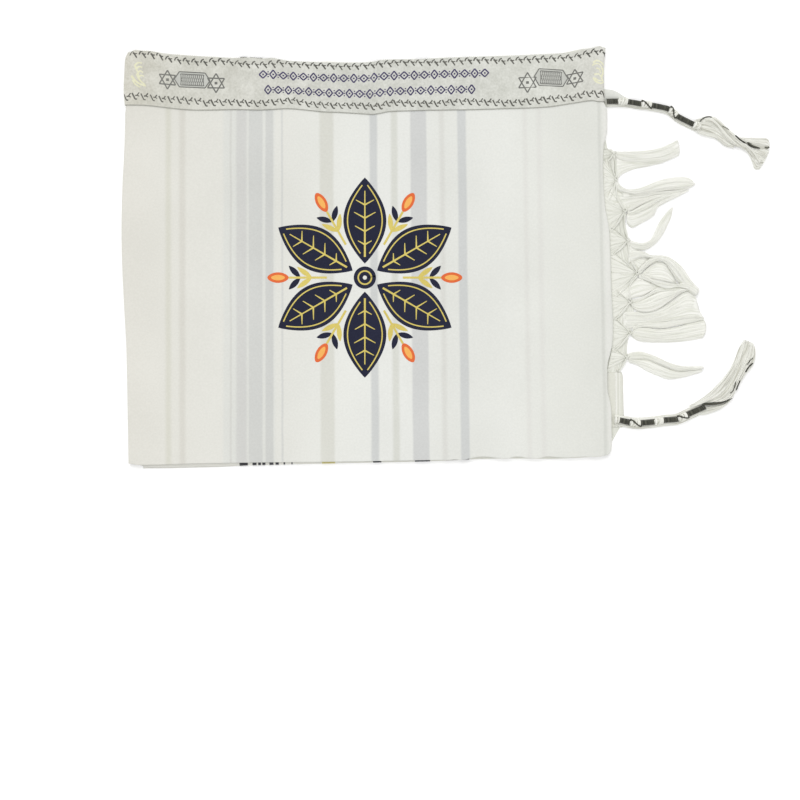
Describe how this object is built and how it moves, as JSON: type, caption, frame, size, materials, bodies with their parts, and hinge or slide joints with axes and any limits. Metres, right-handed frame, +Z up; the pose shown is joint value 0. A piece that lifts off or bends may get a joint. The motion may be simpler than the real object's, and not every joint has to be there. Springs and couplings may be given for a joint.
{
  "type": "folded tallit prayer shawl",
  "caption": "White woven prayer shawl folded in thirds and lying flat, with a sewn neck band, a knotted end fringe and wound corner tassels.",
  "frame": {"origin": "centre of the folded packet's flat underside", "axes": "+X across the packet to its fringed end, +Y up to the neck band, +Z up from the surface it lies on"},
  "size_m": [0.7851, 0.5108, 0.0098],
  "materials": {
    "front_panel_shawl_cloth": "matt plain weave",
    "under_layers_shawl_cloth": "matt plain weave with woven dark and gold stripes",
    "neck_band_band_ribbon": "silky woven ribbon with a soft lustre",
    "end_fringe_fringe_yarn": "soft twisted yarn",
    "corner_tassel_top_tassel_yarn": "twisted yarn wound with a dark thread",
    "corner_tassel_bottom_tassel_yarn": "twisted yarn wound with a dark thread"
  },
  "bodies": {
    "root": {"front_panel": "front_panel_shawl_cloth", "under_layers": "under_layers_shawl_cloth", "neck_band": "neck_band_band_ribbon", "end_fringe": "end_fringe_fringe_yarn", "corner_tassel_top": "corner_tassel_top_tassel_yarn", "corner_tassel_bottom": "corner_tassel_bottom_tassel_yarn"}
  },
  "joints": []
}
